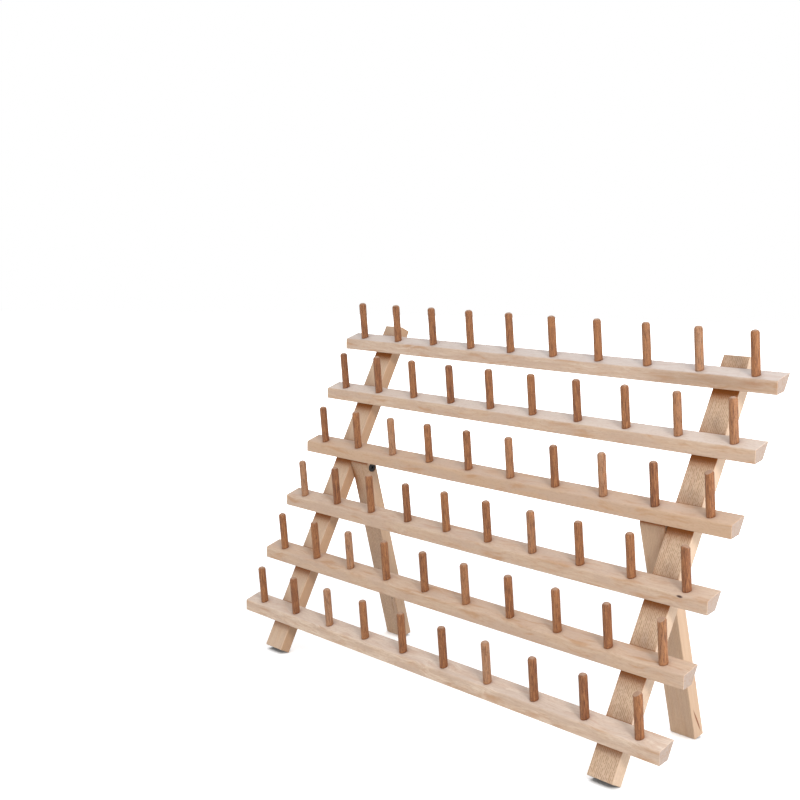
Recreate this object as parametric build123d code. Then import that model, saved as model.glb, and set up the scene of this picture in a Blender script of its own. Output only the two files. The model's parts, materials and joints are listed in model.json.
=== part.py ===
from build123d import *
import math
import os

# Folding wooden thread rack for sixty spools.
# Six stepped rails carry upright dowel pins. The rails are screwed to the front faces
# of two long front legs. A shorter rear leg turns on a pivot screw inside each front leg.
# Millimetres. +X runs along the rails, +Y points to the back, +Z is up.
# The origin is on the floor, under the middle of the rack.
# The rack stands open on the square-cut ends of its four legs.

# Rails
rail_count = 6
rail_length = 451.0
rail_depth = 14.4
rail_height = 9.3
rail_top_tilt = 20.0
rail_under_tilt = 14.0
rail_front_round = 1.8
rail_lower_round = 0.5
rail_back_round = 0.5
rail_end_round = 0.4
bottom_rail_place = 40.4
top_rail_drop = 8.6
# How far each rail sits off its even place, bottom rail first, as shares of the spacing
rail_shift_shares = (0, -0.016, -0.032, -0.006, 0.028, 0)

# Dowel pins
pins_per_rail = 10
pin_diameter = 6.2
pin_height = 31.0
end_pin_inset = 20.3
pin_setback = 5.5
pin_forward_lean = 6.8
pin_tenon_diameter = 5.6
pin_tenon_reveal = 0.9
pin_seat_depth = 6.0
pin_top_round = 2.4
pin_foot_bevel = 0.5
glue_gap = 0.03

# Legs
leg_thickness = 21.9
leg_depth = 9.6
leg_edge_round = 0.7
front_leg_length = 297.0
front_leg_lean = 25.5
front_leg_inset = 33.9
rear_leg_lean = 15.6
rear_leg_crown = 4.5
leg_gap = 0.9
stop_gap = 0.35

# Pivot between each front leg and its rear leg
pivot_below_rail = 5.6
pivot_setback = 5.2
pivot_shank_diameter = 4.0
pivot_core_diameter = 3.2
pivot_core_length = 16.0
pivot_point_length = 3.0
pivot_head_diameter = 6.8
pivot_head_height = 2.2
pivot_head_round = 0.4
pivot_socket_width = 3.0
pivot_socket_sides = 6
pivot_socket_depth = 1.2
pivot_head_recess = 0.3
pivot_recess_diameter = 7.6
pivot_bore_gap = 0.06
turning_gap = 0.3
washer_thickness = 0.6
washer_diameter = 8.0
washer_bore_gap = 0.15

# Wood screws that hold the rails
screw_length = 14.8
screw_head_diameter = 6.0
screw_head_height = 1.8
screw_shank_diameter = 3.0
screw_core_diameter = 2.2
screw_point_length = 2.4
screw_drop = 8.0
screw_slot_width = 0.8
screw_slot_length = 3.2
screw_slot_depth = 0.9
screw_hole_gap = 0.03

# Rails are spread evenly between the lowest and the highest, pins between the two end pins
rail_spacing = (front_leg_length - top_rail_drop - bottom_rail_place) / (rail_count - 1)
pin_pitch = (rail_length - 2 * end_pin_inset) / (pins_per_rail - 1)

# Where the edges of a rounded square corner stand when its leg leans
front_foot_rise = leg_edge_round * (
    math.cos(math.radians(front_leg_lean)) + math.sin(math.radians(front_leg_lean)) - 1
)
rear_foot_rise = leg_edge_round * (
    math.cos(math.radians(rear_leg_lean)) + math.sin(math.radians(rear_leg_lean)) - 1
)

# A rail's back runs down the front leg from the sloped top to the less sloped underside
rail_top_slope = math.tan(math.radians(rail_top_tilt))
rail_under_slope = math.tan(math.radians(rail_under_tilt))
rail_back_slope = 1 / math.tan(math.radians(front_leg_lean))
rail_back_run = rail_height + rail_depth * (rail_top_slope - rail_under_slope)
rail_back_run /= rail_back_slope - rail_under_slope
rail_back_length = rail_back_run / math.sin(math.radians(front_leg_lean))

# Place along the front leg of each rail's upper back edge, bottom rail first
rail_names = ("bottom_rail", "fifth_rail", "fourth_rail", "third_rail", "second_rail", "top_rail")
rail_places = [
    bottom_rail_place + rail_spacing * (step + rail_shift_shares[step])
    for step in range(rail_count)
]

# The rear legs stop under the third rail, and turn just below its lower back edge
stop_edge_place = rail_places[rail_names.index("third_rail")] - rail_back_length
pivot_place = stop_edge_place - pivot_below_rail

# The front legs' lower front edge, with the rack's depth centred on the origin
leg_reach = front_leg_length * math.sin(math.radians(front_leg_lean))
leg_reach += leg_depth * math.cos(math.radians(front_leg_lean))
foot_y = -leg_reach / 2
foot_z = leg_depth * math.sin(math.radians(front_leg_lean)) - front_foot_rise

# In the leg frame, X is the rack's X, Y is the depth behind the front face
# and Z is the place along the leg from its lower end
leg_frame = Pos(0, foot_y, foot_z) * Rot(-front_leg_lean, 0, 0)
pivot_frame = leg_frame * Pos(0, pivot_setback, pivot_place) * Rot(front_leg_lean, 0, 0)
rear_frame = pivot_frame * Rot(rear_leg_lean, 0, 0)
pivot_centre = pivot_frame.position

# Inner and outer faces of the legs on the right-hand side
front_leg_inside = rail_length / 2 - front_leg_inset - leg_thickness
rear_leg_outside = front_leg_inside - leg_gap
rear_leg_inside = rear_leg_outside - leg_thickness


def rail_frame(place):
    """The rack's own directions, from a rail's upper back edge on the front legs."""
    return leg_frame * Pos(0, 0, place) * Rot(front_leg_lean, 0, 0)


def rounded_bar(outline, rounds, width, end_round):
    """A bar along X: a side outline with rounded corners, with eased ends."""
    edge = Plane.YZ * FilletPolyline(*outline, radius=rounds, close=True)
    bar = extrude(make_face(edge), amount=width / 2, both=True)
    ends = bar.faces().sort_by(Axis.X)
    return fillet(ends[0].edges() + ends[-1].edges(), end_round)


def rail_outline():
    """Rail section from its upper back edge: sloped top, upright front, back along the leg."""
    top_rise = rail_depth * rail_top_slope
    return [
        (0, 0),
        (-rail_depth, -top_rise),
        (-rail_depth, -top_rise - rail_height),
        (-rail_back_run, -rail_back_run * rail_back_slope),
    ]


def pin_location(pin_x):
    """Where a pin's axis leaves the rail's top face, from the rail's upper back edge."""
    behind_edge = rail_depth - pin_setback
    return Pos(pin_x, -behind_edge, -behind_edge * rail_top_slope) * Rot(pin_forward_lean, 0, 0)


def pin_places():
    """X of each pin, evenly spread about the middle of the rail."""
    first = -pin_pitch * (pins_per_rail - 1) / 2
    return [first + pin_pitch * step for step in range(pins_per_rail)]


def upright_cylinder(radius, length):
    """A cylinder that starts at the origin and runs up Z."""
    return extrude(Circle(radius), amount=length)


def rim(solid, end):
    """A solid's lowest circular edge, with end 0, or its highest, with end -1."""
    return solid.edges().filter_by(GeomType.CIRCLE).sort_by(Axis.Z)[end]


def make_pin():
    """A dowel with a rounded top. Its foot is turned down to a tenon, seated below the origin."""
    dowel = upright_cylinder(pin_diameter / 2, pin_height - pin_tenon_reveal)
    dowel = Pos(0, 0, pin_tenon_reveal) * fillet(rim(dowel, -1), pin_top_round)
    tenon = upright_cylinder(pin_tenon_diameter / 2, pin_seat_depth + pin_tenon_reveal)
    tenon = Pos(0, 0, -pin_seat_depth) * chamfer(rim(tenon, 0), pin_foot_bevel)
    return dowel + tenon


def make_rail(screw_places):
    """One rail at the origin of its upper back edge, drilled for its pins and screws."""
    rounds = [rail_back_round, rail_front_round, rail_lower_round, rail_back_round]
    rail = rounded_bar(rail_outline(), rounds, rail_length, rail_end_round)
    drill_radius = pin_tenon_diameter / 2 + glue_gap
    drill = Pos(0, 0, -pin_seat_depth) * upright_cylinder(drill_radius, pin_height)
    for pin_x in pin_places():
        rail -= pin_location(pin_x) * drill
    for screw_x in screw_places:
        rail -= screw_on_rail(screw_x) * screw_drill()
    return rail


def make_rail_pins():
    """The pins of one rail, placed from the rail's upper back edge."""
    pin = make_pin()
    return [pin_location(pin_x) * pin for pin_x in pin_places()]


def screw_on_rail(screw_x):
    """Head end of a rail screw, from the rail's upper back edge."""
    tilt = Rot(-front_leg_lean, 0, 0)
    return tilt * Pos(screw_x, leg_depth, -screw_drop) * Rot(90, 0, 0)


def screw_profile(grow):
    """Half outline of a rail screw along Z from its head, grown by a gap."""
    head = screw_head_diameter / 2 + grow
    shank = screw_shank_diameter / 2 + grow
    core = screw_core_diameter / 2 + grow
    shank_end = leg_depth
    point_start = screw_length - screw_point_length
    return [
        (0, 0),
        (head, 0),
        (shank, screw_head_height),
        (shank, shank_end),
        (core, shank_end),
        (core, point_start),
        (0, screw_length),
    ]


def turned(profile):
    """A solid of revolution about Z from a half outline in X and Z."""
    face = make_face(Plane.XZ * Polyline(*profile, close=True))
    return revolve(face, Axis.Z, 360)


def screw_drill():
    """The hole a rail screw needs, from its countersink to its point."""
    return turned(screw_profile(screw_hole_gap))


def make_rail_screw():
    """A countersunk wood screw with a cross recess, head at the origin, point up Z."""
    screw = turned(screw_profile(0))
    for turn in (0, 90):
        slot = extrude(Rectangle(screw_slot_length, screw_slot_width), amount=screw_slot_depth)
        screw -= Rot(0, 0, turn) * slot
    return screw


def pivot_stations():
    """X of the pivot screw's steps on the right side, from its head to its point."""
    head_top = rear_leg_inside + pivot_head_recess
    head_seat = head_top + pivot_head_height
    core_end = front_leg_inside + pivot_core_length
    return head_top, head_seat, core_end


def along_x(start, radius, length):
    """A cylinder on the pivot axis, running outwards along X from a given X."""
    place = Pos(start, pivot_centre.Y, pivot_centre.Z) * Rot(0, 90, 0)
    return place * upright_cylinder(radius, length)


def make_pivot_screw():
    """The right-hand pivot screw: socket head, plain shank and pointed core."""
    head_top, head_seat, core_end = pivot_stations()
    head = along_x(head_top, pivot_head_diameter / 2, pivot_head_height)
    head_rim = head.edges().filter_by(GeomType.CIRCLE).sort_by(Axis.X)[0]
    head = fillet(head_rim, pivot_head_round)
    shank_length = front_leg_inside - head_seat
    shank = along_x(head_seat, pivot_shank_diameter / 2, shank_length)
    core_radius = pivot_core_diameter / 2
    core = along_x(front_leg_inside, core_radius, pivot_core_length - pivot_point_length)
    point_start = core_end - pivot_point_length
    point = turned([(0, 0), (core_radius, 0), (0, pivot_point_length)])
    point = Pos(point_start, pivot_centre.Y, pivot_centre.Z) * Rot(0, 90, 0) * point
    hexagon = RegularPolygon(pivot_socket_width / 2, pivot_socket_sides, major_radius=False)
    socket = extrude(hexagon, amount=pivot_socket_depth)
    socket = Pos(head_top, pivot_centre.Y, pivot_centre.Z) * Rot(0, 90, 0) * socket
    return head + shank + core + point - socket


def make_spacer_washer():
    """The right-hand steel washer between the two legs, against the front leg."""
    start = front_leg_inside - washer_thickness
    disc = along_x(start, washer_diameter / 2, washer_thickness)
    bore_radius = pivot_shank_diameter / 2 + washer_bore_gap
    return disc - along_x(start, bore_radius, washer_thickness)


def make_front_leg():
    """The right-hand front leg, drilled for the pivot screw and the rail screws."""
    outline = [(0, 0), (leg_depth, 0), (leg_depth, front_leg_length), (0, front_leg_length)]
    rounds = [leg_edge_round] * len(outline)
    leg = rounded_bar(outline, rounds, leg_thickness, leg_edge_round)
    middle = front_leg_inside + leg_thickness / 2
    leg = leg_frame * Pos(middle, 0, 0) * leg
    core_radius = pivot_core_diameter / 2 + screw_hole_gap
    leg -= along_x(front_leg_inside, core_radius, pivot_core_length)
    for place in rail_places:
        leg -= rail_frame(place) * screw_on_rail(middle) * screw_drill()
    return leg


def rear_leg_lengths():
    """How far the rear leg runs below and above its pivot."""
    lean = math.radians(rear_leg_lean)
    below = pivot_centre.Z - leg_depth / 2 * math.sin(lean) + rear_foot_rise
    below /= math.cos(lean)
    reach = math.hypot(pivot_below_rail, pivot_setback)
    corner_turn = math.atan2(pivot_setback, pivot_below_rail)
    open_turn = math.radians(front_leg_lean + rear_leg_lean)
    above = reach * math.cos(open_turn - corner_turn) - stop_gap
    return below, above


def make_rear_leg():
    """The right-hand rear leg. Its top end stops under the third rail when open."""
    below, above = rear_leg_lengths()
    half = leg_depth / 2
    outline = [(-half, -below), (half, -below), (half, above), (-half, above)]
    rounds = [leg_edge_round, leg_edge_round, leg_edge_round, rear_leg_crown]
    leg = rounded_bar(outline, rounds, leg_thickness, leg_edge_round)
    leg = rear_frame * Pos(rear_leg_inside + leg_thickness / 2, 0, 0) * leg
    bore_radius = pivot_shank_diameter / 2 + pivot_bore_gap
    leg -= along_x(rear_leg_inside, bore_radius, leg_thickness)
    recess_depth = pivot_head_recess + pivot_head_height + turning_gap
    return leg - along_x(rear_leg_inside, pivot_recess_diameter / 2, recess_depth)


def save(name, shape):
    """Write one node."""
    export_step(shape, os.path.join("parts", name + ".step"))


def on_left(shape):
    """The same piece on the left-hand side."""
    return mirror(shape, about=Plane.YZ)


def main():
    os.makedirs("parts", exist_ok=True)
    middle = front_leg_inside + leg_thickness / 2
    rail = make_rail((-middle, middle))
    rail_pins = make_rail_pins()
    rail_screw = make_rail_screw()
    screws = []
    for name, place in zip(rail_names, rail_places):
        frame = rail_frame(place)
        save(name, frame * rail)
        save(name + "_pins", Compound([frame * pin for pin in rail_pins]))
        screws.append(frame * screw_on_rail(middle) * rail_screw)
    for name, shape in (
        ("front_leg", make_front_leg()),
        ("rear_leg", make_rear_leg()),
        ("pivot_screw", make_pivot_screw()),
        ("spacer_washer", make_spacer_washer()),
    ):
        save("right_" + name, shape)
        save("left_" + name, on_left(shape))
    save("right_rail_screws", Compound(screws))
    save("left_rail_screws", Compound([on_left(screw) for screw in screws]))
    print("pivot", [round(value, 4) for value in pivot_centre])
    print("rear leg below and above its pivot", [round(value, 3) for value in rear_leg_lengths()])


main()
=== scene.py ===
import json
import math

import bmesh
import bpy
import numpy as np
from mathutils import Matrix, Vector


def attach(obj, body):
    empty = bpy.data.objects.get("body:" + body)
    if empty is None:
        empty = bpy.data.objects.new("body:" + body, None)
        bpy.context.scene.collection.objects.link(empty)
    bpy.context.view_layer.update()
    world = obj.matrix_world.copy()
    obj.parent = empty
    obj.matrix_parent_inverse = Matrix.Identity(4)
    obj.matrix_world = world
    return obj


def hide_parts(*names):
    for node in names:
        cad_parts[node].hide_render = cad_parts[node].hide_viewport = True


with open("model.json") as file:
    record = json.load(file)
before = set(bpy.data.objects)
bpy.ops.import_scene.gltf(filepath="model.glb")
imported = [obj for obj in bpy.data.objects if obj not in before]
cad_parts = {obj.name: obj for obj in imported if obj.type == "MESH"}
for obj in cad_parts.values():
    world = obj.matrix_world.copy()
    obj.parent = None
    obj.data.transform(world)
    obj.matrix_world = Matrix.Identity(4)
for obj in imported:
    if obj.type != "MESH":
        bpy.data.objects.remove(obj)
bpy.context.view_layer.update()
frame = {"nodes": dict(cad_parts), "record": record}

# Looks of a folding wooden thread rack: pale planed rails and legs, raw brown dowels, steel screws
mm = 0.001
mounts = {mount["name"]: mount for mount in frame["record"]["mounts"]}
print("frame loaded:", len(frame["nodes"]), "nodes")


# sRGB hex such as "d9c2ab" to linear RGBA
def hexColour(text):
    shares = [int(text[start:start + 2], 16) / 255 for start in (0, 2, 4)]
    linear = [share / 12.92 if share <= 0.04045 else ((share + 0.055) / 1.055) ** 2.4 for share in shares]
    return (*linear, 1.0)


# One node with its settings; an input is a plain value or another node's output
def addNode(tree, kind, inputs=None, **settings):
    node = tree.nodes.new(kind)
    for name, value in settings.items():
        setattr(node, name, value)
    for key, value in (inputs or {}).items():
        if isinstance(value, bpy.types.NodeSocket):
            tree.links.new(value, node.inputs[key])
        else:
            node.inputs[key].default_value = value
    return node


def emptyMaterial(name):
    material = bpy.data.materials.new(name)
    material.use_nodes = True
    material.node_tree.nodes.clear()
    return material, material.node_tree


# A share times a smooth step, which goes from start to end while the pattern goes from low to high
def shaped(tree, share, pattern, low, high, start=0.0, end=1.0):
    inputs = {"Value": pattern, "From Min": low, "From Max": high, "To Min": start, "To Max": end}
    step = addNode(tree, "ShaderNodeMapRange", inputs, interpolation_type="SMOOTHSTEP").outputs["Result"]
    return addNode(tree, "ShaderNodeMath", {0: share, 1: step}, operation="MULTIPLY").outputs["Value"]


# Lays each tint over the base in turn, in its own share: a layer is a tint and a share
def stacked(tree, base, layers):
    colour = hexColour(base)
    for tint, share in layers:
        inputs = {0: share, 6: colour, 7: hexColour(tint)}
        colour = addNode(tree, "ShaderNodeMix", inputs, data_type="RGBA").outputs[2]
    return colour


# Grain space is in mm with X along the fibres; lean turns a leaning piece's long axis onto it
def grainSpace(tree, lean, pith):
    place = addNode(tree, "ShaderNodeTexCoord").outputs["Object"]
    turn = (0, 0, 0) if lean is None else (math.radians(lean), math.radians(90), 0)
    inputs = {"Vector": place, "Location": pith, "Rotation": turn, "Scale": (1 / mm,) * 3}
    return addNode(tree, "ShaderNodeMapping", inputs).outputs["Vector"]


# Noise drawn out along the fibres: sizes in mm along and across the grain
def drawnNoise(tree, grain, along, across, detail, roughness, shift):
    inputs = {0: grain, 1: (1 / along, 1 / across, 1 / across), 2: (shift, shift, shift)}
    stretched = addNode(tree, "ShaderNodeVectorMath", inputs, operation="MULTIPLY_ADD").outputs["Vector"]
    inputs = {"Vector": stretched, "Scale": 1.0, "Detail": detail, "Roughness": roughness}
    return addNode(tree, "ShaderNodeTexNoise", inputs).outputs["Fac"]


# How far the surface faces along a direction, from 0 across it to 1 along it
def facingAlong(tree, direction, bothWays=False):
    normal = addNode(tree, "ShaderNodeTexCoord").outputs["Normal"]
    inputs = {0: normal, 1: direction}
    share = addNode(tree, "ShaderNodeVectorMath", inputs, operation="DOT_PRODUCT").outputs["Value"]
    if bothWays:
        share = addNode(tree, "ShaderNodeMath", {0: share}, operation="ABSOLUTE").outputs["Value"]
    return share


# Settings of the painted shade in closed-in corners
cornerShade = {
    "samples": 8,
    "floorFade": (12.0, 28.0),    # mm over the floor, between which the shade comes in
    "facingRange": (0.2, 0.8),
}


# Painted shade: a warm brown laid into the colour where a face is closed in by other parts, standing in
# for light that bounces between close wood faces and turns warm and dark. Its share is full where the
# face is closed in, and fades near the floor and off other faces
def cornerShare(tree, look):
    inputs = {"Distance": look["cornerReach"] * mm}
    opened = addNode(tree, "ShaderNodeAmbientOcclusion", inputs, samples=cornerShade["samples"])
    share = shaped(tree, look["cornerStrength"], opened.outputs["AO"], *look["cornerRange"], 1.0, 0.0)
    place = addNode(tree, "ShaderNodeTexCoord").outputs["Object"]
    level = addNode(tree, "ShaderNodeSeparateXYZ", {"Vector": place}).outputs["Z"]
    share = shaped(tree, share, level, *(height * mm for height in cornerShade["floorFade"]))
    if look["cornerFacing"]:
        share = shaped(tree, share, facingAlong(tree, look["cornerFacing"]), *cornerShade["facingRange"])
    return share


# A mark's core is full, and it ends at this many half sizes, with a ragged edge from a noise
markEdge = {"end": 1.25, "noise": {"Scale": 1.7, "Detail": 2.0}}


# A mark in the wood: an egg shape at a real place in mm, turned about X, soft and ragged at its edge
def markShare(tree, mark):
    place = addNode(tree, "ShaderNodeTexCoord").outputs["Object"]
    inputs = {"Vector": place, "Rotation": (math.radians(mark["turn"]), 0, 0),
              "Location": [value * mm for value in mark["middle"]],
              "Scale": [value * mm for value in mark["halfSizes"]]}
    local = addNode(tree, "ShaderNodeMapping", inputs, vector_type="TEXTURE").outputs["Vector"]
    away = addNode(tree, "ShaderNodeVectorMath", {0: local}, operation="LENGTH").outputs["Value"]
    ragged = addNode(tree, "ShaderNodeTexNoise", {"Vector": local, **markEdge["noise"]}).outputs["Fac"]
    inputs = {0: ragged, 1: mark["ragged"], 2: away}
    away = addNode(tree, "ShaderNodeMath", inputs, operation="MULTIPLY_ADD").outputs["Value"]
    return shaped(tree, 1.0, away, mark["core"], markEdge["end"], 1.0, 0.0)


waveSpan = 0.31416    # a wave texture of scale 1 repeats every pi / 10

paleWood = {
    "early": "e4cfbb",      # pale cream of the spring wood
    "late": "d0ae90",       # faint tan growth rings
    "warm": "c4956c",       # sun-warmed patches along the grain
    "rose": "ceb39f",       # greyer, pinkish patches
    "pore": "a98465",       # open pores, seen as short dashes
    "end": "ae9f97",        # greyer, pinkish end grain
    "paintedTopSheen": "eaded4",     # painted sheen, the whiter look of the tops that face up
    "foot": "6f6865",       # painted shade, grey, on the feet's undersides
    "corner": "7a3a0c",     # painted shade, warm brown, in the closed-in corners
    "side": None,           # painted light or shade on the faces that look along the rails, None for no change there
    # mm along and across the grain, then detail, roughness and shift of the noise
    "sway": (34.0, 16.0, 1.0, 0.5, 7.0),
    "fibre": (55.0, 1.4, 4.0, 0.65, 0.0),
    "fine": (12.0, 0.70, 2.0, 0.6, 91.0),
    "patch": (32.0, 4.5, 3.0, 0.55, 11.0),
    "blush": (42.0, 7.0, 2.0, 0.5, 53.0),
    "pores": (3.4, 0.9, 1.0, 0.5, 37.0),
    "swayDepth": 9.0,       # mm that the fibres swing from side to side
    "ringWidth": 3.4,       # mm from one growth ring to the next
    "ringWave": {"Distortion": 6.0, "Detail": 2.0, "Detail Scale": 0.05, "Detail Roughness": 0.5},
    "columnPitch": None,    # mm between the rows of open pores, None where they don't stand in rows
    "columnWave": {"Distortion": 0.8, "Detail": 1.0, "Detail Scale": 0.1}, "columnRange": (0.1, 0.8),
    # where in a pattern its tint comes in, and the most that it covers
    "tone": 0.0,
    "ringRange": (0.35, 1.0), "ringStrength": 0.34,
    "fibreRange": (0.32, 0.70), "fibreStrength": 0.50,
    "fineRange": (0.46, 0.66), "fineStrength": 0.50,
    "blushRange": (0.40, 0.66), "blushStrength": 0.65,
    "patchRange": (0.50, 0.72), "patchStrength": 0.68,
    "poreRange": (0.52, 0.66), "poreStrength": 0.14,
    # where an upward face gets the painted sheen, and how much
    "topRange": (0.5, 0.9), "paintedSheenStrength": 0.0,
    # how much the painted light or shade covers the side faces
    "sideRange": (0.6, 0.95), "paintedSideLightShade": 0.0,
    "sidePoresLost": 0.8,    # the pores are cut lengthwise on the side faces and show less
    "endRange": (0.75, 0.97), "endStrength": 0.85,
    # blotches of 1.3 mm on the end grain
    "mottle": {"Scale": 1 / 1.3, "Detail": 2.0}, "mottleRange": (0.45, 0.70), "mottleStrength": 0.5,
    # painted shade on the downward faces of the legs' feet
    "footRange": (0.90, 0.98), "paintedFootShadeStrength": 0.9,
    "cornerReach": 5.5, "cornerRange": (0.35, 0.96), "cornerStrength": 0.40, "cornerFacing": None,
    "roughness": 0.50, "roughGain": 0.12, "roughRange": (0.2, 0.8),
    "relief": 0.06, "bump": 0.6, "ior": 1.5,
    # mm by which each board is moved in the pattern: along the grain, away from the pith and beside it
    "pithSpans": ((0, 900), (18, 45), (-30, 30)),
}


# Planed and sanded pale hardwood, left without a finish: matt, fine straight grain, faint rings,
# warm and pinkish patches, short pores on the faces and a duller, greyer end grain
def sawnWood(name, look):
    material, tree = emptyMaterial(name)
    grain = grainSpace(tree, look["lean"], look["pith"])
    sway = drawnNoise(tree, grain, *look["sway"])
    inputs = {0: sway, 1: (0, look["swayDepth"], look["swayDepth"]), 2: grain}
    grain = addNode(tree, "ShaderNodeVectorMath", inputs, operation="MULTIPLY_ADD").outputs["Vector"]
    kinds = ("fibre", "fine", "patch", "blush", "pores")
    fibre, fine, patch, blush, pores = (drawnNoise(tree, grain, *look[kind]) for kind in kinds)
    wave = {"Vector": grain, "Scale": waveSpan / look["ringWidth"], **look["ringWave"]}
    rings = addNode(tree, "ShaderNodeTexWave", wave, wave_type="RINGS", rings_direction="X",
                    wave_profile="SAW").outputs["Fac"]

    layers = [(look["late"], look["tone"])]
    for kind, pattern, tint in (("ring", rings, "late"), ("fibre", fibre, "late"), ("fine", fine, "late"),
                                ("blush", blush, "rose"), ("patch", patch, "warm")):
        share = shaped(tree, look[kind + "Strength"], pattern, *look[kind + "Range"])
        layers.append((look[tint], share))
    # painted sheen: faces that look up are whitened
    upward = facingAlong(tree, (0, 0, 1))
    layers.append((look["paintedTopSheen"], shaped(tree, look["paintedSheenStrength"], upward, *look["topRange"])))

    poreMask = shaped(tree, look["poreStrength"], pores, *look["poreRange"])
    # painted light or shade on the faces that look along the rails; the pores also show less there
    if look["side"]:
        sideways = facingAlong(tree, (1, 0, 0), bothWays=True)
        layers.append((look["side"], shaped(tree, look["paintedSideLightShade"], sideways, *look["sideRange"])))
        poreMask = shaped(tree, poreMask, sideways, *look["sideRange"], 1.0, 1 - look["sidePoresLost"])
    if look["columnPitch"]:
        wave = {"Vector": grain, "Scale": waveSpan / look["columnPitch"], **look["columnWave"]}
        columns = addNode(tree, "ShaderNodeTexWave", wave, wave_type="BANDS", bands_direction="Z")
        poreMask = shaped(tree, poreMask, columns.outputs["Fac"], *look["columnRange"])
    layers.append((look["pore"], poreMask))

    lean = math.radians(look["lean"] or 0)
    along = (1, 0, 0) if look["lean"] is None else (0, math.sin(lean), math.cos(lean))
    endward = facingAlong(tree, along, bothWays=True)
    cutEnd = shaped(tree, look["endStrength"], endward, *look["endRange"])
    mottle = addNode(tree, "ShaderNodeTexNoise", {"Vector": grain, **look["mottle"]}).outputs["Fac"]
    mottled = shaped(tree, cutEnd, mottle, *look["mottleRange"], 0.0, look["mottleStrength"])
    layers += [(look["end"], cutEnd), (look["pore"], mottled)]
    # painted shade on the undersides of the legs' feet
    if look["lean"] is not None:
        under = facingAlong(tree, [-share for share in along])
        layers.append((look["foot"], shaped(tree, look["paintedFootShadeStrength"], under, *look["footRange"])))

    inputs = {0: fibre, 1: poreMask}
    height = addNode(tree, "ShaderNodeMath", inputs, operation="SUBTRACT").outputs["Value"]
    for mark in look["marks"]:
        mask = markShare(tree, mark)
        inputs = {0: mask, 1: mark["strength"]}
        share = addNode(tree, "ShaderNodeMath", inputs, operation="MULTIPLY").outputs["Value"]
        layers.append((mark["colour"], share))
        inputs = {0: mask, 1: -mark["sunk"], 2: height}
        height = addNode(tree, "ShaderNodeMath", inputs, operation="MULTIPLY_ADD").outputs["Value"]
    # painted shade in the closed-in corners, laid over last
    layers.append((look["corner"], cornerShare(tree, look)))

    inputs = {"Height": height, "Strength": look["bump"], "Distance": look["relief"] * mm}
    bump = addNode(tree, "ShaderNodeBump", inputs).outputs["Normal"]
    roughest = look["roughness"] + look["roughGain"]
    rough = shaped(tree, 1.0, fibre, *look["roughRange"], look["roughness"], roughest)
    shader = addNode(tree, "ShaderNodeBsdfPrincipled", {
        "Base Color": stacked(tree, look["early"], layers), "Roughness": rough, "Normal": bump,
        "IOR": look["ior"],
    })
    addNode(tree, "ShaderNodeOutputMaterial", {"Surface": shader.outputs["BSDF"]})
    return material


# Every rail and leg is cut from its own stretch of board, so the pith lies elsewhere for each
def boardLook(seed, lean=None, **changes):
    draw = np.random.default_rng(seed)
    pith = [float(draw.uniform(*span)) for span in paleWood["pithSpans"]]
    return {**paleWood, "lean": lean, "pith": pith, "marks": [], **changes}


def dress(node, material):
    for slot in frame["nodes"][node].material_slots:
        slot.material = material


# Small faults of the wood and a browner stretch of the top rail's front, placed in mm in the rack's own
# frame, turned in degrees
flatMark = {"turn": 0, "sunk": 0.0}
ochreSpot = {**flatMark, "halfSizes": (7.5, 5.0, 3.0), "core": 0.1, "ragged": 0.6,
             "colour": "c3934c", "strength": 0.45}
reddishPatch = {**flatMark, "middle": (207.0, 41.5, 255.5), "halfSizes": (17.0, 4.0, 3.2),
                "core": 0.2, "ragged": 0.5, "colour": "b4733f", "strength": 0.5}
# a browner stretch over the right part of the top rail's front
brownerFront = {**flatMark, "middle": (175.0, 40.0, 255.0), "halfSizes": (85.0, 4.0, 9.0),
                "core": 0.3, "ragged": 0.3, "colour": "9a7658", "strength": 0.62}
knotHole = {"middle": (203.7, -23.3, 121.8), "halfSizes": (2.9, 1.8, 0.95), "turn": 0,
            "core": 0.60, "ragged": 0.3, "colour": "3c1706", "strength": 1.0, "sunk": 5.0}
dryingCrack = {"middle": (168.8, 48.9, 13.5), "halfSizes": (1.6, 0.80, 10.5), "turn": 29.3,
               "core": 0.5, "ragged": 0.1, "colour": "84461f", "strength": 0.9, "sunk": 4.0}
reddishFleck = {"middle": (168.8, 45.2, 42.3), "halfSizes": (2.0, 1.2, 3.0), "turn": 15.6,
                "core": 0.3, "ragged": 0.4, "colour": "b26f48", "strength": 0.6, "sunk": 0.0}
pinKnot = {"middle": (-151.1, 37.4, 35.5), "halfSizes": (0.8, 1.5, 1.1), "turn": 15.6,
           "core": 0.4, "ragged": 0.2, "colour": "4f2c17", "strength": 0.9, "sunk": 3.0}
resinStreak = {"middle": (-152.2, 39.5, 27.5), "halfSizes": (1.5, 2.5, 9.0), "turn": 15.6,
               "core": 0.2, "ragged": 0.4, "colour": "a26a35", "strength": 0.55, "sunk": 0.0}
woodMarks = {
    "bottom_rail": [{"middle": (place, -58.0, 40.5), **ochreSpot} for place in (-193.0, -142.0, -40.0)],
    "top_rail": [reddishPatch, brownerFront],
    "fourth_rail": [knotHole],
    "right_rear_leg": [dryingCrack, reddishFleck],
    "left_rear_leg": [pinKnot, resinStreak],
}

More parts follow.
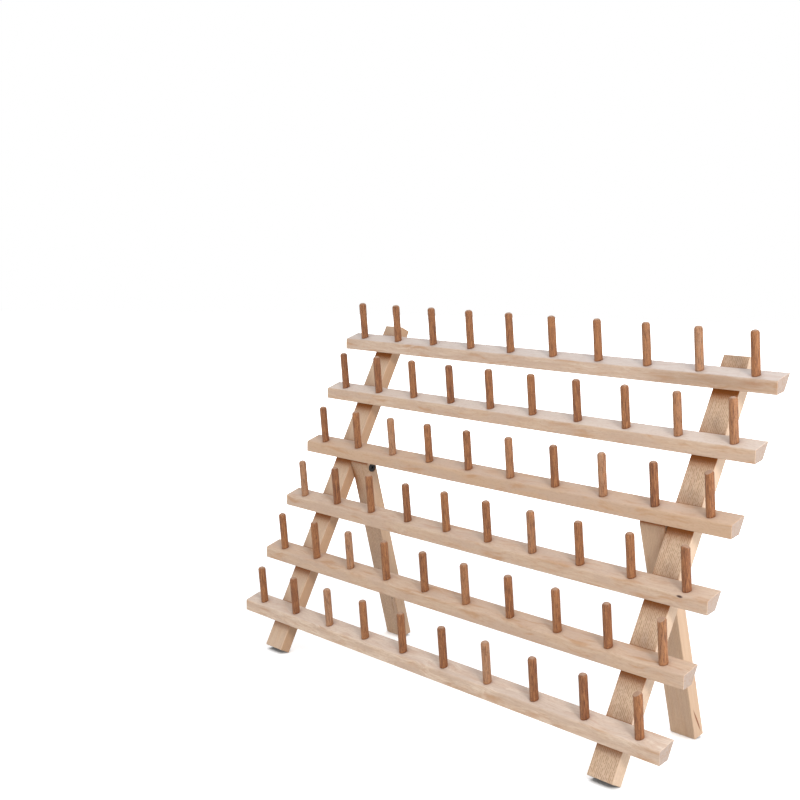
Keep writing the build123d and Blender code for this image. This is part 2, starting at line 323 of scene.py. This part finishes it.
# tone is the share of tan over a whole piece; a rail's top gets a painted sheen, a whitening in the share
# given
railLooks = {
    "bottom_rail": {"seed": 20, "tone": 0.0, "paintedSheenStrength": 0.35, "early": "f3dfcc"},
    "fifth_rail": {"seed": 21, "tone": 0.34},
    "fourth_rail": {"seed": 22, "tone": 0.24, "paintedSheenStrength": 0.1},
    "third_rail": {"seed": 23, "tone": 0.80, "paintedSheenStrength": 0.1, "early": "e4cdb4"},
    "second_rail": {"seed": 24, "tone": 0.30, "paintedSheenStrength": 0.7, "early": "e6d2be"},
    "top_rail": {"seed": 25, "tone": 0.08, "paintedSheenStrength": 0.55, "early": "e6d3c2", "paintedTopSheen": "d4cdc8"},
}
for rail, changes in railLooks.items():
    look = boardLook(**changes, marks=woodMarks.get(rail, []))
    dress(rail, sawnWood(rail + "PlanedHardwood", look))

legWood = {
    "early": "dec4a9", "ringStrength": 0.12, "patchStrength": 0.25, "blushStrength": 0.35,
    "fibre": (60.0, 0.95, 4.0, 0.65, 0.0), "fineStrength": 0.25, "swayDepth": 1.5,
    "pores": (2.0, 1.0, 1.0, 0.5, 37.0), "poreRange": (0.36, 0.58),
    "columnPitch": 1.4,    # about 1.1 on the real wood, drawn coarser so that the picture can hold it
    # painted shadow, warm brown, on the legs' fronts under the rails
    "corner": "95540a", "cornerReach": 14.0, "cornerRange": (0.60, 0.98), "cornerStrength": 1.0,
    "cornerFacing": (0, -1, 0),    # the rails stand on the legs' fronts
}
frontLean, rearLean = 25.5, -15.6    # degrees back from upright
# The side colours are painted light and shade: lighter on the right front leg's side, darker on the other
# legs' sides
legLooks = {
    "left_front_leg": {"seed": 40, "lean": frontLean, "poreStrength": 0.22,
                       "side": "b07a48", "paintedSideLightShade": 0.45},
    "left_rear_leg": {"seed": 50, "lean": rearLean, "poreStrength": 0.60, "tone": 0.2,
                      "side": "c79b72", "paintedSideLightShade": 0.15},
    "right_front_leg": {"seed": 41, "lean": frontLean, "poreStrength": 0.75,
                        "side": "ecd8c4", "paintedSideLightShade": 0.35},
    "right_rear_leg": {"seed": 51, "lean": rearLean, "poreStrength": 0.22,
                       "side": "cfa98a", "paintedSideLightShade": 0.25},
}
for leg, changes in legLooks.items():
    look = boardLook(**legWood, **changes, marks=woodMarks.get(leg, []))
    dress(leg, sawnWood(leg + "Hardwood", look))
print("rails and legs dressed")

dowel = {
    "seed": 70, "count": 10,
    # mm along the pin's axis from its seat on the rail
    "height": 31.0, "midHeight": 14.75, "seat": 6.0, "tenonTop": 0.9,
    "tenonRadius": 2.8, "footBevel": 0.5, "topRound": 2.4,
    "sides": 40, "rings": 44, "domeRings": 10, "crownRings": 4,
    "unevenness": 0.025,    # mm, hand-fed dowel stock is never quite round
    # turns round the pin, mm of height to a radian, and size of each wave
    "waves": ((2, 7.0, 1.0), (3, -3.1, 0.7), (5, 1.9, 0.6), (0, 4.3, 0.5)),
    "raggedness": 0.10, "sawTeeth": 3,    # mm and turns, sawn tops are never quite smooth
    "lengthSpread": (-0.012, 0.004),    # shares of its height by which a pin may differ
    # the last pin of these rails is cut slanting, lowest towards this angle from +X, in radians
    "slants": {"third_rail": -1.8, "fourth_rail": 0.5, "fifth_rail": -1.6, "bottom_rail": -1.9},
    "slantDepth": 2.6, "slantSlope": 0.60,
    "topTilt": 20.0, "clearance": 0.06,    # degrees and mm, the shoulder follows the rail's sloping top
    "weld": 0.001,    # mm, points closer than this are one
}


# Radius and height down a pin: bevelled tenon, shoulder, straight side, quarter-ellipse dome, small crown
def dowelProfile(radius):
    foot, top = -dowel["seat"], dowel["height"]
    bevel, rounding, tenon = dowel["footBevel"], dowel["topRound"], dowel["tenonRadius"]
    side = np.linspace(dowel["tenonTop"], top - rounding, dowel["rings"])
    turn = np.linspace(0, math.pi / 2, dowel["domeRings"])[1:]
    crown = np.linspace(radius - rounding, 0, dowel["crownRings"])[1:]
    radii = np.concatenate([[0, tenon - bevel, tenon, tenon], np.full(len(side), radius),
                            radius - rounding + rounding * np.cos(turn), crown])
    heights = np.concatenate([[foot, foot, foot + bevel, dowel["tenonTop"]], side,
                              top - rounding + rounding * np.sin(turn), np.full(len(crown), top)])
    return radii, heights


# All pins of one rail as one mesh. A pin's point is base + (r cos a) X + (r sin a) side + h axis, where r
# takes a few slow waves in a and h, with other phases on each pin, h at the shoulder follows the plane of
# the rail's top, and h near the top takes a ragged wave and is cut by a slanting plane on the last pins
# of some rails
def dowelRow(rail, seed):
    left, right = (mounts[f"{rail}_{side}_end_pin"] for side in ("left", "right"))
    axis = np.array(left["axis"], float)
    radius = left["dims"]["r_mm"]
    across = np.cross(axis, (1, 0, 0))
    middles = np.linspace(left["pos_m"], right["pos_m"], dowel["count"]) / mm
    bases = middles - axis * dowel["midHeight"]
    radii, heights = dowelProfile(radius)
    rows, sides, count, top = len(radii), dowel["sides"], dowel["count"], dowel["height"]
    draw = np.random.default_rng(seed)
    phase = draw.uniform(0, 2 * math.pi, (len(dowel["waves"]) + 1, count, 1, 1))
    stretch = 1 + draw.uniform(*dowel["lengthSpread"], (count, 1, 1))
    h = heights[None, :, None]
    a = (np.arange(sides) * 2 * math.pi / sides)[None, None, :]
    wave = sum(size * np.sin(turns * a + h / span + phase[step])
               for step, (turns, span, size) in enumerate(dowel["waves"]))
    r = radii[None, :, None] * (1 + dowel["unevenness"] / radius * wave)

    teeth = np.sin(dowel["sawTeeth"] * a + phase[-1]) * (h > top - dowel["topRound"])
    ragged = dowel["raggedness"] * r / radius * teeth
    slope = math.tan(math.radians(dowel["topTilt"]) - math.atan2(-axis[1], axis[2]))
    seatDrop = slope * r * np.sin(a) + dowel["clearance"] - dowel["tenonTop"]
    share = (top - h) / (top - dowel["tenonTop"])
    settle = np.where(h > dowel["tenonTop"] / 2, seatDrop * share, 0)
    tall = np.where(h > 0, h * stretch, h) + ragged + settle
    if rail in dowel["slants"]:
        lastPin = (np.arange(count) == count - 1)[:, None, None]
        reach = r * np.cos(a - dowel["slants"][rail])
        cut = top - dowel["slantDepth"] + (radius - reach) * dowel["slantSlope"]
        tall = np.where(lastPin, np.minimum(tall, cut), tall)

    points = (bases[:, None, None, :] + (r * np.cos(a))[..., None] * np.array([1.0, 0, 0])
              + (r * np.sin(a))[..., None] * across + tall[..., None] * axis)
    index = np.arange(count * rows * sides).reshape(count, rows, sides)
    nextSide = np.roll(index, -1, axis=2)
    quads = np.stack([index[:, :-1], nextSide[:, :-1], nextSide[:, 1:], index[:, 1:]], axis=-1)
    mesh = bpy.data.meshes.new(rail + "Dowels")
    mesh.from_pydata((points.reshape(-1, 3) * mm).tolist(), [], quads.reshape(-1, 4).tolist())
    number = np.repeat(np.arange(count), rows * sides).astype(np.float32)
    mesh.attributes.new("pinNumber", "FLOAT", "POINT").data.foreach_set("value", number)
    piece = bpy.data.objects.new(rail + "Dowels", mesh)
    bpy.context.scene.collection.objects.link(piece)
    return piece


# A lathe grid's pole is one point in a ring of copies, so the copies are merged
def closePoles(piece):
    work = bmesh.new()
    work.from_mesh(piece.data)
    bmesh.ops.remove_doubles(work, verts=work.verts, dist=dowel["weld"] * mm)
    bmesh.ops.recalc_face_normals(work, faces=work.faces)
    work.to_mesh(piece.data)
    work.free()
    piece.data.polygons.foreach_set("use_smooth", [True] * len(piece.data.polygons))
    piece.data.update()


rawDowel = {
    "brown": "804e2e", "light": "b67e51", "dark": "4c240c", "cut": "bb9c86", "pale": "be977a",
    # mm along and across the grain, then detail, roughness and shift of the noise
    "streak": (8.0, 0.85, 3.0, 0.7, 0.0),
    "paleStreak": (8.0, 0.85, 2.0, 0.5, 71.0),
    "blotch": (20.0, 2.4, 2.0, 0.5, 5.0),
    "pores": (1.3, 0.6, 1.0, 0.5, 23.0),
    # pattern, tint, where in the pattern the tint comes in, and the most that it covers
    "layers": (
        ("tone", "light", 0.10, 0.80, 0.45),
        ("tone", "pale", 0.78, 0.95, 0.65),
        ("blotch", "light", 0.45, 0.75, 0.40),
        ("paleStreak", "light", 0.48, 0.62, 0.60),
        ("streak", "dark", 0.48, 0.64, 0.62),
        ("pores", "dark", 0.56, 0.70, 0.40),
        ("domed", "cut", 0.45, 0.95, 0.75),
    ),
    # a rail's board number moves the grain by this many mm, and its pins' tones along a random row
    "firstBoard": 3, "boardStep": 53.0, "toneStep": 17.3,
    # painted shade, warm brown, at the pins' feet on the rails
    "corner": "6d3512", "cornerReach": 4.0, "cornerRange": (0.30, 0.90), "cornerStrength": 0.35,
    "cornerFacing": None,
    "roughness": 0.62, "relief": 0.16, "bump": 0.8, "ior": 1.5,
}


# Rough-turned reddish hardwood dowel, left raw: matt, long light and dark streaks, short pores, each pin
# its own tone, and paler cut tops
def dowelWood(rail, board):
    material, tree = emptyMaterial(rail + "RawDowel")
    axis = mounts[rail + "_left_end_pin"]["axis"]
    lean = math.degrees(math.atan2(axis[1], axis[2]))
    grain = grainSpace(tree, lean, (board * rawDowel["boardStep"], 0, 0))
    patterns = {kind: drawnNoise(tree, grain, *rawDowel[kind])
                for kind in ("streak", "paleStreak", "blotch", "pores")}
    number = addNode(tree, "ShaderNodeAttribute", attribute_name="pinNumber").outputs["Fac"]
    inputs = {0: number, 1: board * rawDowel["toneStep"]}
    number = addNode(tree, "ShaderNodeMath", inputs, operation="ADD").outputs["Value"]
    tone = addNode(tree, "ShaderNodeTexWhiteNoise", {"W": number}, noise_dimensions="1D")
    patterns["tone"] = tone.outputs["Value"]
    patterns["domed"] = facingAlong(tree, axis)
    layers = []
    shares = {}
    for kind, tint, low, high, strength in rawDowel["layers"]:
        shares[kind] = shaped(tree, strength, patterns[kind], low, high)
        layers.append((rawDowel[tint], shares[kind]))
    # painted shade at the pins' feet
    layers.append((rawDowel["corner"], cornerShare(tree, rawDowel)))

    inputs = {0: patterns["streak"], 1: shares["pores"]}
    dug = addNode(tree, "ShaderNodeMath", inputs, operation="ADD").outputs["Value"]
    inputs = {0: patterns["paleStreak"], 1: dug}
    height = addNode(tree, "ShaderNodeMath", inputs, operation="SUBTRACT").outputs["Value"]
    inputs = {"Height": height, "Strength": rawDowel["bump"], "Distance": rawDowel["relief"] * mm}
    bump = addNode(tree, "ShaderNodeBump", inputs).outputs["Normal"]
    shader = addNode(tree, "ShaderNodeBsdfPrincipled", {
        "Base Color": stacked(tree, rawDowel["brown"], layers), "Roughness": rawDowel["roughness"],
        "Normal": bump, "IOR": rawDowel["ior"],
    })
    addNode(tree, "ShaderNodeOutputMaterial", {"Surface": shader.outputs["BSDF"]})
    return material


for step, rail in enumerate(railLooks):
    row = dowelRow(rail, dowel["seed"] + step)
    closePoles(row)
    row.data.materials.append(dowelWood(rail, rawDowel["firstBoard"] + step))
    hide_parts(rail + "_pins")
    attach(row, "rack_frame")
print("dowels made:", len(railLooks) * dowel["count"])

steel = {
    "cloudDetail": 3.0, "cloudRange": (0.35, 0.70),
    # clouds in mm
    "zinc": {"colour": "b9bcc0", "second": "a9a796", "cloud": 1.6,
             "roughness": (0.28, 0.46), "metallic": 1.0},
    "black": {"colour": "1d1d1f", "second": "2a2726", "cloud": 1.2,
              "roughness": (0.38, 0.55), "metallic": 0.6},
}


# Steel with a surface finish: small clouds of a second tone, rougher where they are
def finishedSteel(name, look):
    material, tree = emptyMaterial(name)
    place = addNode(tree, "ShaderNodeTexCoord").outputs["Object"]
    inputs = {"Vector": place, "Scale": 1 / (look["cloud"] * mm), "Detail": steel["cloudDetail"]}
    cloud = addNode(tree, "ShaderNodeTexNoise", inputs).outputs["Fac"]
    share = shaped(tree, 1.0, cloud, *steel["cloudRange"])
    smoothest, roughest = look["roughness"]
    inputs = {"Value": cloud, "To Min": smoothest, "To Max": roughest}
    rough = addNode(tree, "ShaderNodeMapRange", inputs).outputs["Result"]
    shader = addNode(tree, "ShaderNodeBsdfPrincipled", {
        "Base Color": stacked(tree, look["colour"], [(look["second"], share)]),
        "Metallic": look["metallic"], "Roughness": rough,
    })
    addNode(tree, "ShaderNodeOutputMaterial", {"Surface": shader.outputs["BSDF"]})
    return material


zincSteel = finishedSteel("zincPlatedSteel", steel["zinc"])        # bluish grey, slightly blotchy plating
blackSteel = finishedSteel("blackOxideSteel", steel["black"])      # near black, oily low sheen
for side in ("left", "right"):
    dress(side + "_rail_screws", zincSteel)
    dress(side + "_spacer_washer", zincSteel)
    dress(side + "_pivot_screw", blackSteel)
print("steel dressed")

studio = {
    "floorRings": (0.0, 0.2, 0.5, 1.2, 3.0, 6.0), "floorSides": 64,    # metres
    "paperSeen": "e9e9e9", "paperLight": "c6c2bd",
    "lift": 0.62, "fade": (0.40, 0.95),    # glow of the seen paper, and metres out to where it is white
    # painted contact shadow: the floor's glow is taken away where the rack closes it in
    "contactReach": 0.012, "contactRange": (0.15, 0.90), "contactSamples": 8,
    "worldColour": "ffffff", "worldLevel": 0.36,
    "middle": (0.0, 0.0, 0.14),    # metres, what the lamps look at
    # name, place in metres, size in metres, watts, colour
    "lamps": (
        ("rightKey", (1.45, -0.70, 1.05), 0.40, 14.0, "fffaf4"),
        ("frontFill", (0.00, -1.75, 0.45), 1.2, 5.2, "ffffff"),
        ("topSoft", (-0.10, -0.20, 1.60), 1.0, 3.2, "eaf1ff"),
        ("backSheen", (-0.45, 0.75, 1.45), 1.0, 6.0, "e6eeff"),
        ("sideFill", (0.85, 0.05, 0.30), 0.5, 2.5, "ffffff"),
        ("leftFill", (-1.10, -0.95, 0.15), 0.8, 3.0, "fff6ea"),
    ),
}


# How much a ray sees the white studio directly: camera, mirror and glass rays
def seenDirectly(tree):
    path = addNode(tree, "ShaderNodeLightPath").outputs
    share = path["Is Camera Ray"]
    for kind in ("Is Glossy Ray", "Is Transmission Ray"):
        inputs = {0: share, 1: path[kind]}
        share = addNode(tree, "ShaderNodeMath", inputs, operation="ADD", use_clamp=True).outputs["Value"]
    return share


# Pale paper floor: where it is seen it is lifted to white and fades into the backdrop, with the rack's
# shadow kept and a painted contact shadow right at the feet, where the glow is taken away; the light that
# it throws back up is that of a greyer paper
def paperFloor():
    material, tree = emptyMaterial("palePaperSweep")
    seen = seenDirectly(tree)
    place = addNode(tree, "ShaderNodeTexCoord").outputs["Object"]
    away = addNode(tree, "ShaderNodeVectorMath", {0: place}, operation="LENGTH").outputs["Value"]
    strength = shaped(tree, seen, away, *studio["fade"], studio["lift"], 1 + studio["lift"])
    # painted contact shadow: less glow where the feet close the floor in
    inputs = {"Distance": studio["contactReach"]}
    opened = addNode(tree, "ShaderNodeAmbientOcclusion", inputs, samples=studio["contactSamples"])
    strength = shaped(tree, strength, opened.outputs["AO"], *studio["contactRange"])
    colour = stacked(tree, studio["paperLight"], [(studio["paperSeen"], seen)])
    paper = addNode(tree, "ShaderNodeBsdfDiffuse", {"Color": colour})
    glow = addNode(tree, "ShaderNodeEmission", {"Strength": strength})
    both = addNode(tree, "ShaderNodeAddShader", {0: paper.outputs["BSDF"], 1: glow.outputs["Emission"]})
    addNode(tree, "ShaderNodeOutputMaterial", {"Surface": both.outputs["Shader"]})
    return material


# Flat round floor: a point is (r cos a, r sin a, 0) over a few rings of r
def makeFloor():
    rings = np.array(studio["floorRings"])[:, None]
    angles = np.arange(studio["floorSides"]) * 2 * math.pi / studio["floorSides"]
    flat = np.zeros((len(rings), len(angles)))
    points = np.stack([rings * np.cos(angles), rings * np.sin(angles), flat], axis=-1)
    index = np.arange(flat.size).reshape(flat.shape)
    nextSide = np.roll(index, -1, axis=1)
    quads = np.stack([index[:-1], index[1:], nextSide[1:], nextSide[:-1]], axis=-1).reshape(-1, 4)
    mesh = bpy.data.meshes.new("floor")
    mesh.from_pydata(points.reshape(-1, 3).tolist(), [], quads.tolist())
    mesh.validate()
    floor = bpy.data.objects.new("floor", mesh)
    bpy.context.scene.collection.objects.link(floor)
    floor.data.materials.append(paperFloor())


# White where it is seen directly, dimmer as a light
def makeWorld():
    world = bpy.data.worlds.new("studio")
    world.use_nodes = True
    tree = world.node_tree
    tree.nodes.clear()
    inputs = {"Value": seenDirectly(tree), "To Min": studio["worldLevel"], "To Max": 1.0}
    level = addNode(tree, "ShaderNodeMapRange", inputs).outputs["Result"]
    inputs = {"Color": hexColour(studio["worldColour"]), "Strength": level}
    sky = addNode(tree, "ShaderNodeBackground", inputs)
    addNode(tree, "ShaderNodeOutputWorld", {"Surface": sky.outputs["Background"]})
    bpy.context.scene.world = world


def makeLamps():
    for name, place, size, watts, colour in studio["lamps"]:
        lamp = bpy.data.lights.new(name, "AREA")
        lamp.shape = "DISK"
        lamp.size = size
        lamp.energy = watts
        lamp.color = hexColour(colour)[:3]
        holder = bpy.data.objects.new(name, lamp)
        bpy.context.scene.collection.objects.link(holder)
        holder.location = place
        aim = Vector(studio["middle"]) - Vector(place)
        holder.rotation_euler = aim.to_track_quat("-Z", "Y").to_euler()


makeFloor()
makeWorld()
makeLamps()
print("studio lit")

view = {
    "azimuth": 49.33, "elevation": 6.40, "roll": 1.02,       # degrees
    "target": (-87.3, -12.0, 219.65), "distance": 1070.3,    # mm
    "lens": 60.07, "sensor": 36.0,                           # mm
    "near": 0.05, "far": 30.0,                               # metres
}


# The camera stands back from its target along (sin az cos el, -cos az cos el, sin el), then rolls
def makeCamera():
    azimuth, elevation, roll = (math.radians(view[name]) for name in ("azimuth", "elevation", "roll"))
    level = math.cos(elevation)
    back = Vector((math.sin(azimuth) * level, -math.cos(azimuth) * level, math.sin(elevation)))
    right = (-back).cross(Vector((0, 0, 1))).normalized()
    up = right.cross(-back)
    turnedRight = right * math.cos(roll) + up * math.sin(roll)
    turnedUp = up * math.cos(roll) - right * math.sin(roll)
    place = (Vector(view["target"]) + back * view["distance"]) * mm
    lens = bpy.data.cameras.new("photoView")
    lens.lens = view["lens"]
    lens.sensor_width = view["sensor"]
    lens.clip_start = view["near"]
    lens.clip_end = view["far"]
    camera = bpy.data.objects.new("photoView", lens)
    bpy.context.scene.collection.objects.link(camera)
    axes = Matrix((turnedRight, turnedUp, back)).transposed().to_4x4()
    camera.matrix_world = Matrix.Translation(place) @ axes
    bpy.context.scene.camera = camera


makeCamera()
bpy.context.scene.view_settings.view_transform = "Standard"
